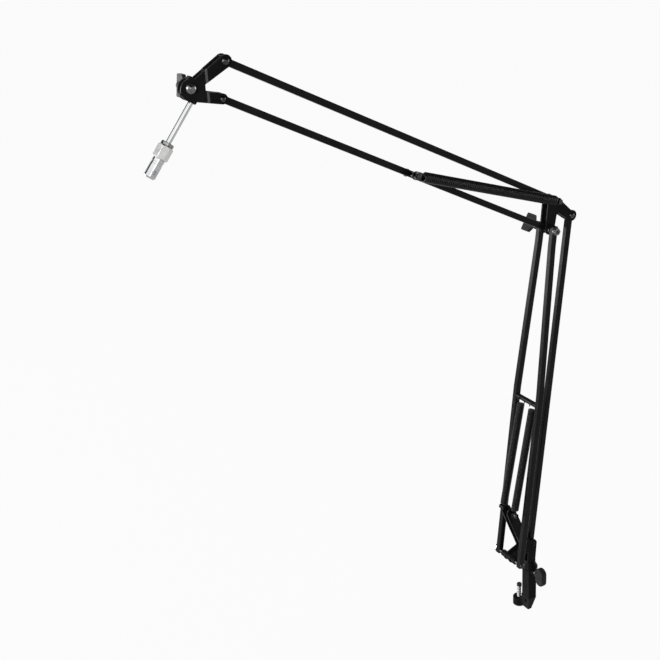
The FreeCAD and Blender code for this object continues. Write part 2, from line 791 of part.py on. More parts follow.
def spring(name, low, high, y, hooks, rooms, wire, coil_radius, curls):
    along = high - low
    curves = spring_path(along.Length, hooks, rooms, coil_radius, curls)
    path = Part.Wire([c.toShape() for c in curves])
    start = curves[0].StartPoint
    profile = Part.Wire(Part.makeCircle(wire / 2, start, Z))
    shape = path.makePipeShell([profile], True, False)
    print(name, "least gap", round(least_gap(curves, wire), 2), "valid", shape.isValid())
    return placed(shape, V(low.x, y, low.z), along.normalize())


def main():
    os.makedirs("parts", exist_ok=True)

    save("clamp_frame", clamp_frame())
    save("clamp_screw", clamp_screw())
    save("clamp_pad", clamp_pad())
    save("lock_shank", lock_shank())
    save("lock_paddle", lock_paddle())

    save("base_spindle", base_spindle())
    save("base_yoke", base_yoke())
    barrel_end = barrel_half - face_gap
    save("front_pivot_barrel", ring_y(front_pivot, barrel_radius, hole, -barrel_end, barrel_end))
    save("rear_pivot_rivet", rivet(rear_pivot, pin_head_radius, plate_out, bolt_radius))
    save("spring_stubs", *spring_stubs())

    for side, name in ((1, "left"), (-1, "right")):
        save("front_tube_" + name, pair_tube(side))
        save("elbow_plate_" + name, elbow_plate(side))
        save("head_plate_" + name, head_plate(side))
        hooks = (hook_round(stub_radius, lower_wire), hook_through(crossbar_radius, lower_wire))
        save("lower_spring_" + name,
             spring("lower_spring_" + name, anchor, crossbar, side * lower_spring_y, hooks,
                    (coil_to_pin, coil_to_crossbar), lower_wire, lower_coil_radius, lower_curls))
    save("spring_crossbar", crossbar_rod())
    save("front_bolt", front_bolt())
    save("front_nut", front_nut())
    save("front_sleeves", ring_y(front_pivot, sleeve_radius, hole, -pair_inner, -barrel_half),
         ring_y(front_pivot, sleeve_radius, hole, barrel_half, pair_inner))

    rear = straight_tube(rear_pivot, elbow_rear)
    save("rear_tube", drilled(drilled(rear, rear_pivot, hole), elbow_rear, bolt_radius + open_pivot))

    nut_seat = pair_top_outer + washer
    save("elbow_rear_rivet", rivet(elbow_rear, pin_head_radius, plate_out, bolt_radius))
    bolt_end = nut_seat + elbow_wing_height - wing_wall - bolt_stub
    nut_end = nut_seat + elbow_nut_height
    save("elbow_bolt", pin_y(elbow, bolt_radius, -nut_end - elbow_bolt_stub, bolt_end))
    save("elbow_nut", hex_nut_y(elbow, hex_flats, -nut_end, -nut_seat, bolt_radius + snug))
    washers = []
    for inner, outer in ((plate_out, pair_top_inner - face_gap), (pair_top_outer + face_gap, nut_seat)):
        washers.append(ring_y(elbow, washer_radius, bolt_radius + snug, inner, outer))
        washers.append(ring_y(elbow, washer_radius, bolt_radius + snug, -outer, -inner))
    save("elbow_washers", *washers)
    save("elbow_wing_nut", wing_nut(nut_seat + face_gap, elbow_wing_height, elbow_wing_angle, elbow))

    post_nut_from = hardware_end - post_nut
    top_head = hexagon_y(elbow_top, hex_flats, plate_out, plate_out + nut_height)
    save("elbow_top_bolt", joined([pin_y(elbow_top, bolt_radius, -plate_out, plate_out), top_head,
                                   pin_y(elbow_top, post_radius, post_nut_from, -plate_out)]))
    save("elbow_top_nut",
         hex_nut_y(elbow_top, post_nut_flats, post_nut_from, hardware_end, post_radius + snug))

    bottom_tube = drilled(straight_tube(elbow, head_lower), elbow, hole)
    bottom_tube = drilled(drilled(bottom_tube, head_lower, hole), spring_stud, bolt_radius + snug)
    save("upper_tube_bottom", bottom_tube)
    top_tube = drilled(straight_tube(elbow_top, head_top), elbow_top, hole)
    save("upper_tube_top", drilled(top_tube, head_top, bolt_radius + open_pivot))
    stud_head = hexagon_y(spring_stud, hex_flats, tube / 2, tube / 2 + nut_height)
    nut_from = hardware_end - nut_height
    stud_post = pin_y(spring_stud, bolt_radius, nut_from - bolt_stub, tube / 2)
    save("spring_stud", joined([stud_post, stud_head]))
    save("spring_stud_nut", hex_nut_y(spring_stud, hex_flats, nut_from, hardware_end, bolt_radius + snug))
    hooks = (hook_round(post_radius, upper_wire), hook_round(bolt_radius, upper_wire))
    save("upper_spring", spring("upper_spring", elbow_top, spring_stud, upper_spring_y, hooks,
                                (coil_to_pin, coil_to_stud), upper_wire, upper_coil_radius, upper_curls))

    save("head_top_rivet", rivet(head_top, top_rivet_radius, plate_out, bolt_radius))
    save("head_lower_rivet", rivet(head_lower, lower_rivet_radius, plate_out, bolt_radius))
    tilt_seat = tilt_out + washer
    tilt_end = tilt_seat + tilt_wing_height - wing_wall - bolt_stub
    tilt_shank = pin_y(tilt_pivot, bolt_radius, -tilt_out, tilt_end)
    tilt_head = dome_y(tilt_pivot, tilt_head_radius, tilt_head_dome, -tilt_out, -1)
    save("tilt_bolt", joined([tilt_shank, tilt_head]))
    save("tilt_washer", ring_y(tilt_pivot, washer_radius, bolt_radius + snug, tilt_out, tilt_seat))
    save("tilt_wing_nut", wing_nut(tilt_seat + face_gap, tilt_wing_height, tilt_wing_angle, tilt_pivot))

    save("swivel_block", swivel_block())
    save("mic_rod", mic_rod())
    save("lock_collar", lock_collar())
    save("adapter_nut", adapter_nut())
    save("thread_adapter", thread_adapter())


main()
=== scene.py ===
import bpy
import bmesh
import math
from mathutils import Matrix, Vector


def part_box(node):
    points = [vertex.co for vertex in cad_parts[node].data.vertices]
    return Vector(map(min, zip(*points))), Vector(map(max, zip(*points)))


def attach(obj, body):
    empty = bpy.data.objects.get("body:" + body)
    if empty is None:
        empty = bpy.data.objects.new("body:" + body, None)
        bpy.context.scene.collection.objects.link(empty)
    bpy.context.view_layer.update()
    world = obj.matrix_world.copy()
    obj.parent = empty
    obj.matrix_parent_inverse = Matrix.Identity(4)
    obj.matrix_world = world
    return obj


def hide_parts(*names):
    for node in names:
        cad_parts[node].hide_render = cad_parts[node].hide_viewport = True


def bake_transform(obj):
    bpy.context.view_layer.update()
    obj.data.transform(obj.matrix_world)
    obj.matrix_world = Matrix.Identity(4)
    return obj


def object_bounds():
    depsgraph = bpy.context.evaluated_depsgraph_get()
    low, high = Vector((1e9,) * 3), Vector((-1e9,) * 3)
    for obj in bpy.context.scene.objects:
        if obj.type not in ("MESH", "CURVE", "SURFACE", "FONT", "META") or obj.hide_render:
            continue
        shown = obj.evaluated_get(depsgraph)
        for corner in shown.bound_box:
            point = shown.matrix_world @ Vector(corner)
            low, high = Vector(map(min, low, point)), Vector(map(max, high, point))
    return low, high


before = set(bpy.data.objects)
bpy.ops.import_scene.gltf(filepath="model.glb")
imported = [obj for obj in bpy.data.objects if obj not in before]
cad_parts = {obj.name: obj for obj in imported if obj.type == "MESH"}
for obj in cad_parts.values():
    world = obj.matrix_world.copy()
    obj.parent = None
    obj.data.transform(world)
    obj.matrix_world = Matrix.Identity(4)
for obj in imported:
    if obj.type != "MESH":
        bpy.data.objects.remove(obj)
cad_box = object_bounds()


# Clamp frame: a C cast in iron, bored for the arm's spindle and tapped for the two screws.
# It is fettled by hand and sprayed satin black, so the skin keeps some of the sand's grain.
# Its edges are painted lighter: partly a thinner coat where they were ground, partly painted
# highlight.

def plain_finish(name, metal=0.0, gloss=0.5):
    """A bare finish, to be given its colour, polish and grain."""
    finish = bpy.data.materials.new(name)
    finish.use_nodes = True
    shader = finish.node_tree.nodes["Principled BSDF"]
    shader.inputs["Metallic"].default_value = metal
    shader.inputs["Specular IOR Level"].default_value = gloss
    return finish


def patches(finish, size, stretch=(1.0, 1.0, 1.0), detail=4.0):
    """Cloudy patches of about the given size in metres, longer along an axis of small stretch."""
    nodes, links = finish.node_tree.nodes, finish.node_tree.links
    place = nodes.new("ShaderNodeTexCoord")
    scaled = nodes.new("ShaderNodeMapping")
    scaled.inputs["Scale"].default_value = [share / size for share in stretch]
    cloud = nodes.new("ShaderNodeTexNoise")
    cloud.inputs["Scale"].default_value = 1.0
    cloud.inputs["Detail"].default_value = detail
    links.new(place.outputs["Object"], scaled.inputs["Vector"])
    links.new(scaled.outputs["Vector"], cloud.inputs["Vector"])
    return cloud.outputs["Fac"]


def tint(finish, size, dark, light, wear_and_sheen=None, edge=0.0):
    """Colour that drifts between a dark and a light shade; its lighter edges are part wear, part
    painted highlight.
    """
    dark_below, light_above = 0.35, 0.65
    still_flat, fully_round = 0.97, 0.8
    nodes, links = finish.node_tree.nodes, finish.node_tree.links
    ramp = nodes.new("ShaderNodeValToRGB")
    ramp.color_ramp.elements[0].position = dark_below
    ramp.color_ramp.elements[0].color = (*dark, 1)
    ramp.color_ramp.elements[1].position = light_above
    ramp.color_ramp.elements[1].color = (*light, 1)
    links.new(patches(finish, size), ramp.inputs["Fac"])
    colour = ramp.outputs["Color"]
    if wear_and_sheen:
        softened = nodes.new("ShaderNodeBevel")
        softened.samples = 6
        softened.inputs["Radius"].default_value = edge
        skin = nodes.new("ShaderNodeNewGeometry")
        facing = nodes.new("ShaderNodeVectorMath")
        facing.operation = "DOT_PRODUCT"
        # Edge mask for the lighter edge colour: partly wear, partly a painted highlight along the
        # rounded edges.
        edge_wear_and_sheen = nodes.new("ShaderNodeMapRange")
        edge_wear_and_sheen.inputs["From Min"].default_value = still_flat
        edge_wear_and_sheen.inputs["From Max"].default_value = fully_round
        mixed = nodes.new("ShaderNodeMix")
        mixed.data_type = "RGBA"
        mixed.inputs["B"].default_value = (*wear_and_sheen, 1)
        links.new(softened.outputs["Normal"], facing.inputs[0])
        links.new(skin.outputs["Normal"], facing.inputs[1])
        links.new(facing.outputs["Value"], edge_wear_and_sheen.inputs["Value"])
        links.new(edge_wear_and_sheen.outputs["Result"], mixed.inputs["Factor"])
        links.new(colour, mixed.inputs["A"])
        colour = mixed.outputs["Result"]
    links.new(colour, nodes["Principled BSDF"].inputs["Base Color"])


def dull_and_bright(finish, size, low, high, **spread):
    """Roughness that drifts between two values, where the coat is better or worse polished.
    The value half-way stays on the socket, for a viewer that doesn't read the patches."""
    low_below, high_above = 0.3, 0.7
    nodes, links = finish.node_tree.nodes, finish.node_tree.links
    roughness = nodes["Principled BSDF"].inputs["Roughness"]
    roughness.default_value = (low + high) / 2
    span = nodes.new("ShaderNodeMapRange")
    span.inputs["From Min"].default_value = low_below
    span.inputs["From Max"].default_value = high_above
    span.inputs["To Min"].default_value = low
    span.inputs["To Max"].default_value = high
    links.new(patches(finish, size, **spread), span.inputs["Value"])
    links.new(span.outputs["Result"], roughness)


def grain(finish, size, height, edge=0.0, **spread):
    """Fine relief of the given height in metres, over edges softened to the given radius."""
    nodes, links = finish.node_tree.nodes, finish.node_tree.links
    relief = nodes.new("ShaderNodeBump")
    relief.inputs["Strength"].default_value = 1.0
    relief.inputs["Distance"].default_value = height
    links.new(patches(finish, size, **spread), relief.inputs["Height"])
    if edge:
        softened = nodes.new("ShaderNodeBevel")
        softened.samples = 4
        softened.inputs["Radius"].default_value = edge
        links.new(softened.outputs["Normal"], relief.inputs["Normal"])
    links.new(relief.outputs["Normal"], nodes["Principled BSDF"].inputs["Normal"])


def dress(finish, *names):
    """Give the finish to the named CAD nodes."""
    for name in names:
        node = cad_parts[name]
        node.data.materials.clear()
        node.data.materials.append(finish)


casting_black = plain_finish("casting_black", gloss=0.025)
tint(casting_black, size=0.012, dark=(0.005, 0.005, 0.0052), light=(0.010, 0.010, 0.0103),
     wear_and_sheen=(0.045, 0.045, 0.045), edge=0.0007)
dull_and_bright(casting_black, size=0.006, low=0.28, high=0.42)
grain(casting_black, size=0.0011, height=0.00005, edge=0.0008)
dress(casting_black, "clamp_frame")


# Clamp screw: mild steel bar with a rolled thread, left bright under a thin oil film.
# It runs in the lower boss; a key turns it by the hexagon recess at its foot, and its tip
# swivels in the pad.
bright_steel = plain_finish("bright_steel", metal=1.0)
tint(bright_steel, size=0.004, dark=(0.34, 0.34, 0.345), light=(0.5, 0.5, 0.5))
dull_and_bright(bright_steel, size=0.0015, low=0.2, high=0.34)
grain(bright_steel, size=0.0005, height=0.000006)


def middle(node):
    """The middle of a CAD node's box at rest."""
    low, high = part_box(node)
    return (low + high) / 2


def put_in_scene(name, data):
    """A new object in the scene that shows the given mesh, lamp or camera."""
    thing = bpy.data.objects.new(name, data)
    bpy.context.scene.collection.objects.link(thing)
    return thing


def rolled_thread(name, radius, length, pitch, tip_radius, tip, recess_flats=0.0,
                  recess_depth=0.0):
    """Threaded bar along Z from its foot at 0: recess, thread between chamfers, plain tip."""
    sides, rows_in_a_turn = 42, 8
    depth_share, crest_share, slope_share = 0.61, 0.2, 0.35
    root = radius - depth_share * pitch
    step = pitch / rows_in_a_turn
    angles = [2 * math.pi * s / sides for s in range(sides)]
    skin = bmesh.new()

    def ring(height, reach):
        return [skin.verts.new((reach(a) * math.cos(a), reach(a) * math.sin(a), height))
                for a in angles]

    def flank(height):
        room = min(height, length - height)

        def reach(angle):
            turn = (height / pitch - angle / (2 * math.pi)) % 1.0
            fall = abs(turn - 0.5) * 2 - crest_share
            depth = min(max(fall / (2 * slope_share), 0.0), 1.0)
            return min(radius - (radius - root) * depth, root + room)
        return reach

    def hexagon(angle):
        return recess_flats / 2 / math.cos((angle % (math.pi / 3)) - math.pi / 6)

    rings = []
    if recess_flats:
        recess_floor = recess_flats / 4
        rings += [ring(recess_depth, lambda a: recess_floor),
                  ring(recess_depth, hexagon), ring(0.0, hexagon)]
    rings += [ring(k * step, flank(k * step)) for k in range(int(round(length / step)) + 1)]
    rings += [ring(length, lambda a: tip_radius), ring(length + tip, lambda a: tip_radius)]
    for near, far in zip(rings, rings[1:]):
        for s in range(sides):
            beside = (s + 1) % sides
            skin.faces.new((near[s], near[beside], far[beside], far[s])).smooth = True
    skin.faces.new(list(reversed(rings[0])))
    skin.faces.new(rings[-1])
    mesh = bpy.data.meshes.new(name)
    skin.to_mesh(mesh)
    skin.free()
    return put_in_scene(name, mesh)


screw_low, screw_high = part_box("clamp_screw")
screw_radius = (screw_high.x - screw_low.x) / 2
screw_pitch = 0.00125
screw_tip, screw_tip_radius = 0.0031, 0.0025
key_flats, key_depth = 0.004, 0.004
threaded_screw = rolled_thread("threaded_screw", screw_radius,
                               screw_high.z - screw_low.z - screw_tip, screw_pitch,
                               screw_tip_radius, screw_tip,
                               recess_flats=key_flats, recess_depth=key_depth)
screw_foot = middle("clamp_screw")
screw_foot.z = screw_low.z
threaded_screw.data.transform(Matrix.Translation(screw_foot))
threaded_screw.data.materials.append(bright_steel)
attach(threaded_screw, "clamp_screw")
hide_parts("clamp_screw")


# Lock screw's shank: the same bright bar one size down, threaded over its whole length.
# It runs through the boss on the clamp's spine and presses on the spindle.
shank_low, shank_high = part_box("lock_shank")
shank_radius = (shank_high.z - shank_low.z) / 2
shank_pitch = 0.001
shank_end, shank_end_radius = 0.0005, 0.0022
threaded_shank = rolled_thread("threaded_shank", shank_radius,
                               shank_high.y - shank_low.y - shank_end, shank_pitch,
                               shank_end_radius, shank_end)
shank_foot = middle("lock_shank")
shank_foot.y = shank_low.y
threaded_shank.data.transform(Matrix.Translation(shank_foot)
                              @ Matrix.Rotation(math.radians(-90), 4, "X"))
threaded_shank.data.materials.append(bright_steel)
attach(threaded_shank, "lock_screw")
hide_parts("lock_shank")


# Pad: a moulded rubber cup pressed on the clamp screw's tip.
# It stays still on the desk's underside while the screw turns, and keeps the screw from
# marking the wood.
pad_rubber = plain_finish("pad_rubber", gloss=0.2)
tint(pad_rubber, size=0.003, dark=(0.018, 0.018, 0.018), light=(0.03, 0.0295, 0.029))
dull_and_bright(pad_rubber, size=0.002, low=0.65, high=0.85)
grain(pad_rubber, size=0.0006, height=0.00005, edge=0.0004)
dress(pad_rubber, "clamp_pad")


# Lock screw's thumb paddle and the two wing nuts: moulded in black nylon over a steel insert.
# The mould's fine spark texture leaves them duller than the painted steel. Their rims are painted
# lighter: partly polished by handling, partly painted highlight.
moulded_black = plain_finish("moulded_black", gloss=0.07)
tint(moulded_black, size=0.008, dark=(0.014, 0.014, 0.014), light=(0.024, 0.024, 0.0245),
     wear_and_sheen=(0.09, 0.09, 0.09), edge=0.0008)
dull_and_bright(moulded_black, size=0.003, low=0.36, high=0.52)
grain(moulded_black, size=0.0007, height=0.00004, edge=0.0008)
dress(moulded_black, "lock_paddle", "elbow_wing_nut", "tilt_wing_nut")


# Base spindle and front pivot barrel: turned from bar and blacked in hot oxide, with faint
# lathe rings. The spindle's tenon is riveted over the yoke's web; the barrel is pressed
# through both cheeks.
blacked_bar = plain_finish("blacked_bar", gloss=0.03)
tint(blacked_bar, size=0.006, dark=(0.006, 0.006, 0.0062), light=(0.012, 0.012, 0.0123))
dull_and_bright(blacked_bar, size=0.003, low=0.24, high=0.36, stretch=(0.3, 0.3, 6))
grain(blacked_bar, size=0.0008, height=0.000008, edge=0.0005, stretch=(0.2, 0.2, 2))
dress(blacked_bar, "base_spindle", "front_pivot_barrel")


# Yoke with its rear rivet, elbow plates and swivel block: steel sheet and bar, cut, folded
# and drilled. They are stove enamelled, the rivet once it is closed in the yoke. The cut edges
# are
# painted lighter: partly thin enamel there, partly painted highlight where they catch the light.
sheet_black = plain_finish("sheet_black", gloss=0.03)
tint(sheet_black, size=0.02, dark=(0.007, 0.007, 0.0072), light=(0.013, 0.013, 0.0134),
     wear_and_sheen=(0.05, 0.05, 0.05), edge=0.0006)
dull_and_bright(sheet_black, size=0.008, low=0.2, high=0.3)
grain(sheet_black, size=0.0012, height=0.00003, edge=0.0006)
dress(sheet_black, "base_yoke", "rear_pivot_rivet", "elbow_plate_left", "elbow_plate_right",
      "swivel_block")


# Head plates: the same enamelled sheet, with a step pressed across each so that they clear
# the swivel block. A lighter band is painted along the step's slope: a painted highlight where
# the slope catches the light from the left.

def painted_highlight_band(finish, middle_x, half_width, shade):
    """A painted highlight: a band of lighter colour across X at the given place, fading out over
    its edges.
    """
    faded, full = 1.25, 0.75
    nodes, links = finish.node_tree.nodes, finish.node_tree.links
    place = nodes.new("ShaderNodeTexCoord")
    parts = nodes.new("ShaderNodeSeparateXYZ")
    away = nodes.new("ShaderNodeMath")
    away.operation = "SUBTRACT"
    away.inputs[1].default_value = middle_x
    apart = nodes.new("ShaderNodeMath")
    apart.operation = "ABSOLUTE"
    band = nodes.new("ShaderNodeMapRange")
    band.interpolation_type = "SMOOTHSTEP"
    band.inputs["From Min"].default_value = half_width * faded
    band.inputs["From Max"].default_value = half_width * full
    mixed = nodes.new("ShaderNodeMix")
    mixed.data_type = "RGBA"
    mixed.inputs["B"].default_value = (*shade, 1)
    coat = nodes["Principled BSDF"].inputs["Base Color"]
    links.new(place.outputs["Object"], parts.inputs["Vector"])
    links.new(parts.outputs["X"], away.inputs[0])
    links.new(away.outputs["Value"], apart.inputs[0])
    links.new(apart.outputs["Value"], band.inputs["Value"])
    links.new(band.outputs["Result"], mixed.inputs["Factor"])
    links.new(coat.links[0].from_socket, mixed.inputs["A"])
    links.new(mixed.outputs["Result"], coat)


step_middle, step_run = -0.52056, 0.003
stepped_black = sheet_black.copy()
stepped_black.name = "stepped_black"
# Painted highlight: a lighter band along the step's slope, where it catches the light.
painted_highlight_band(stepped_black, step_middle, step_run / 2, shade=(0.085, 0.085, 0.085))
dress(stepped_black, "head_plate_left", "head_plate_right")


# Arm tubes and crossbar: square welded tube, bent in pairs for the lower arm and cut straight
# for the rest, and a round bar let into the front pair. All are stove enamelled, and the
# rounded corners draw out into light lines.
tube_black = plain_finish("tube_black", gloss=0.07)
tint(tube_black, size=0.03, dark=(0.006, 0.006, 0.0062), light=(0.011, 0.011, 0.0113))
dull_and_bright(tube_black, size=0.01, low=0.17, high=0.26)
grain(tube_black, size=0.0016, height=0.00002)
dress(tube_black, "front_tube_left", "front_tube_right", "rear_tube", "upper_tube_bottom",
      "upper_tube_top", "spring_crossbar")


# Rivets, bolts, nuts and sleeves of the pivots, and the stubs and stud that hold the springs:
# cold-headed steel with a black oxide skin that shines where it is domed. The rivets are
# closed over the plates by hammer; the nuts are run up tight and stay put.
oxide_black = plain_finish("oxide_black", metal=1.0)
# Its edges are painted lighter: partly wear, partly painted highlight.
tint(oxide_black, size=0.003, dark=(0.03, 0.03, 0.031), light=(0.055, 0.055, 0.056),
     wear_and_sheen=(0.12, 0.12, 0.12), edge=0.0003)
dull_and_bright(oxide_black, size=0.0015, low=0.12, high=0.22)
grain(oxide_black, size=0.0005, height=0.000008, edge=0.0003)
dress(oxide_black, "front_bolt", "front_sleeves", "spring_stubs", "elbow_rear_rivet",
      "elbow_bolt", "elbow_top_bolt", "elbow_top_nut", "spring_stud", "spring_stud_nut",
      "head_top_rivet", "head_lower_rivet", "tilt_washer")


# Tilt bolt: a domed head drawn and polished before it is blacked, so it mirrors more than
# the rivets do. Its square neck keeps it from turning in the plate, and the wing nut pulls
# on its tail.
polished_black = plain_finish("polished_black", metal=1.0)
tint(polished_black, size=0.004, dark=(0.1, 0.1, 0.102), light=(0.15, 0.15, 0.152))
dull_and_bright(polished_black, size=0.002, low=0.08, high=0.14)
dress(polished_black, "tilt_bolt")


# Elbow's nut and washers: turned steel under bright zinc.
# They turn against painted parts, so they are plated, and the plate has gone cloudy with
# handling.
zinc_bright = plain_finish("zinc_bright", metal=1.0)
tint(zinc_bright, size=0.0025, dark=(0.12, 0.12, 0.123), light=(0.28, 0.28, 0.278))
dull_and_bright(zinc_bright, size=0.0015, low=0.22, high=0.4)
grain(zinc_bright, size=0.0005, height=0.00001, edge=0.0003)
dress(zinc_bright, "elbow_nut", "elbow_washers")


# Front pivot's cap nut: a domed steel nut that covers the bolt's end.
# It is plated in zinc too, and is left alone once it is tight, so the plate has stayed pale.
zinc_pale = plain_finish("zinc_pale", metal=1.0)
tint(zinc_pale, size=0.0025, dark=(0.6, 0.6, 0.605), light=(0.76, 0.76, 0.755))
dull_and_bright(zinc_pale, size=0.0015, low=0.22, high=0.36)
dress(zinc_pale, "front_nut")


# Lower springs: a pair of close-wound extension springs that carry the arm's weight.
# Each is blacked music wire; its last coil is bent out into a hook, round a stub below
# and through the bar above.
spring_black = plain_finish("spring_black", gloss=0.15)
tint(spring_black, size=0.01, dark=(0.006, 0.006, 0.0063), light=(0.011, 0.011, 0.0114))
dull_and_bright(spring_black, size=0.004, low=0.14, high=0.22)
grain(spring_black, size=0.0006, height=0.000005)

hook_gap = 0.0005
hook_bend = 0.002


def bow(centre_x, centre_z, radius, first, last):
    """Points on an arc in the hook's own plane, between two angles in degrees."""
    fewest_steps, step_angle = 3, 15
    steps = max(fewest_steps, int(abs(last - first) / step_angle))
    angles = [math.radians(first + (last - first) * k / steps) for k in range(steps + 1)]
    return [Vector((centre_x + radius * math.cos(a), 0, centre_z + radius * math.sin(a)))
            for a in angles]


def hook_round(pin, wire):
    """A hook that lies round a pin of the given radius."""
    reach = pin + hook_gap + wire / 2
    return [Vector((-reach, 0, wire))] + bow(0, 0, reach, 180, 360)


def hook_through(bar, wire):
    """A hook that passes through a hole across a bar of the given radius."""
    flat = bar + hook_gap
    return ([Vector((-flat - hook_bend, 0, hook_bend + wire))]
            + bow(-flat, hook_bend, hook_bend, 180, 270)
            + bow(flat, hook_bend, hook_bend, 270, 360))


def lead_in(hook, coil, room):
    """The hook's points with the stretch of wire that leads from it into the coil."""
    steps, pull, rise = 12, 1.6, 0.1
    start, end = hook[-1], Vector((0, coil, room))
    out, into = Vector((0, 0, 1)) * room * pull, Vector((-1, 0, rise)) * coil * pull
    points = list(hook)
    for k in range(1, steps):
        t = k / steps
        points.append(start * (2 * t ** 3 - 3 * t ** 2 + 1) + out * (t ** 3 - 2 * t ** 2 + t)
                      + end * (3 * t ** 2 - 2 * t ** 3) + into * (t ** 3 - t ** 2))
    return points


def wire_line(length, hooks, rooms, coil, turns):
    """Centre line of a spring along Z: hook, coil and hook, with the pins along Y at the ends."""
    steps_in_a_turn, first_turn = 18, 0.25
    low, high = rooms[0], length - rooms[1]
    count = int(round(turns * steps_in_a_turn))
    line = lead_in(hooks[0], coil, rooms[0])
    for k in range(count + 1):
        angle = 2 * math.pi * (k / steps_in_a_turn + first_turn)
        line.append(Vector((coil * math.cos(angle), coil * math.sin(angle),
                            low + (high - low) * k / count)))
    line += [Vector((p.x, -p.y, length - p.z))
             for p in reversed(lead_in(hooks[1], coil, rooms[1]))]
    return line


def drawn_wire(line, wire, sides=8):
    """Rings of a round wire along a line, each turned as little as can be from the last one."""
    normal = Vector((0, 1, 0))
    rings = []
    angles = [2 * math.pi * s / sides for s in range(sides)]
    for k, point in enumerate(line):
        way = (line[min(k + 1, len(line) - 1)] - line[max(k - 1, 0)]).normalized()
        normal = (normal - way * normal.dot(way)).normalized()
        across = way.cross(normal)
        rings.append([point + (normal * math.cos(a) + across * math.sin(a)) * wire / 2
                      for a in angles])
    return rings


def side_faces(rows, sides):
    """Faces that join each row of points round a piece to the next row."""
    return [[k * sides + s, k * sides + (s + 1) % sides,
             (k + 1) * sides + (s + 1) % sides, (k + 1) * sides + s]
            for k in range(rows - 1) for s in range(sides)]


def wire_skin(name, rings, foot, tip):
    """Mesh of a stretch of wire, closed at the foot or at the tip where the wire ends there."""
    sides = len(rings[0])
    corners = [point for ring in rings for point in ring]
    faces = side_faces(len(rings), sides)
    smooth_faces = len(faces)
    if foot:
        faces.append(list(reversed(range(sides))))
    if tip:
        faces.append([len(corners) - sides + s for s in range(sides)])
    mesh = bpy.data.meshes.new(name)
    mesh.from_pydata(corners, [], faces)
    mesh.polygons.foreach_set("use_smooth", [k < smooth_faces for k in range(len(faces))])
    mesh.update()
    return put_in_scene(name, mesh)


def hang_spring(name, node, pins, hooks, rooms, wire, coil, turns, stretches):
    """Wind a spring in place of a CAD spring. It is built in stretches cut at the given heights,
    which are joined again into one piece."""
    start, end = Vector(pins[0]), Vector(pins[1])
    start.y = end.y = middle(node).y
    length = (end - start).length
    along = (end - start) / length
    aside = Vector((along.z, 0, -along.x))
    place = (Matrix.Translation(start)
             @ Matrix((aside, Vector((0, 1, 0)), along)).transposed().to_4x4())
    line = wire_line(length, hooks, rooms, coil, turns)
    rings = [[place @ point for point in ring] for ring in drawn_wire(line, wire)]
    heights = [min(max(point.z / length, 0), 1) for point in line]
    low_half = line[:len(line) // 2]
    last_low = max(k for k, point in enumerate(low_half) if point.z <= rooms[0])
    line_end = len(line) - 1
    runs, first = [], 0
    for (cut_from, share_from), (cut_to, share_to) in zip(stretches, stretches[1:]):
        last = line_end
        if cut_to < 1:
            last = next(k for k in range(max(first, last_low) + 1, len(line))
                        if heights[k] >= cut_to)
        run = wire_skin(name, rings[first:last + 1], first == 0, last == line_end)
        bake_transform(run)
        runs.append(run)
        first = last
    piece = runs[0]
    with bpy.context.temp_override(active_object=piece, selected_editable_objects=runs):
        bpy.ops.object.join()
    same_place = wire / 1000
    skin = bmesh.new()
    skin.from_mesh(piece.data)
    bmesh.ops.remove_doubles(skin, verts=skin.verts, dist=same_place)
    skin.to_mesh(piece.data)
    skin.free()
    piece.name = name
    piece.data.materials.append(spring_black)
    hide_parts(node)


lower_wire, lower_coil, lower_turns = 0.0018, 0.0056, 96.5
lower_rooms = (0.0085, 0.010)
stub_radius, crossbar_radius = 0.003, 0.0043
lower_stretches = ((0, 0), (0.06, 0.185), (0.2, 0.466), (0.5, 0.775), (1, 1))
for side in ("left", "right"):
    hang_spring("wound_spring_" + side, "lower_spring_" + side,
                pins=(middle("spring_stubs"), middle("spring_crossbar")),
                hooks=(hook_round(stub_radius, lower_wire),
                       hook_through(crossbar_radius, lower_wire)),
                rooms=lower_rooms, wire=lower_wire, coil=lower_coil, turns=lower_turns,
                stretches=lower_stretches)


# Upper spring: one heavier spring of the same blacked wire, a little open between its coils.
# It hangs beside the upper arm, from a post on the elbow to a stud through the bottom tube.
upper_wire, upper_coil, upper_turns = 0.0028, 0.0064, 74.5
upper_rooms = (0.0085, 0.014)
post_radius, spring_stud_radius = 0.0022, 0.003
upper_stretches = ((0, 0), (0.03, 0.5), (0.1, 0.8), (0.3, 0.95), (1, 1))
hang_spring("wound_spring_upper", "upper_spring",
            pins=(middle("elbow_top_nut"), middle("spring_stud_nut")),
            hooks=(hook_round(post_radius, upper_wire),
                   hook_round(spring_stud_radius, upper_wire)),
            rooms=upper_rooms, wire=upper_wire, coil=upper_coil, turns=upper_turns,
            stretches=upper_stretches)


# Microphone rod: ground steel bar with a small chamfer at each end, polished and chrome plated.
# The swivel block grips it, and it turns there to aim what hangs from it.
chrome_plate = plain_finish("chrome_plate", metal=1.0)
tint(chrome_plate, size=0.02, dark=(0.36, 0.365, 0.37), light=(0.44, 0.44, 0.445))
dull_and_bright(chrome_plate, size=0.02, low=0.09, high=0.13, detail=1.0)

rod_tilt = math.radians(38)
rod_offset = 0.0107
rod_up = Vector((math.sin(rod_tilt), 0, math.cos(rod_tilt)))
rod_across = Vector((math.cos(rod_tilt), 0, -math.sin(rod_tilt)))
rod_middle = middle("tilt_bolt")
rod_middle.y = middle("mic_rod").y
on_the_rod = (Matrix.Translation(rod_middle + rod_across * rod_offset)
              @ Matrix((rod_across, Vector((0, 1, 0)), rod_up)).transposed().to_4x4())
sharp_corner = math.radians(24)


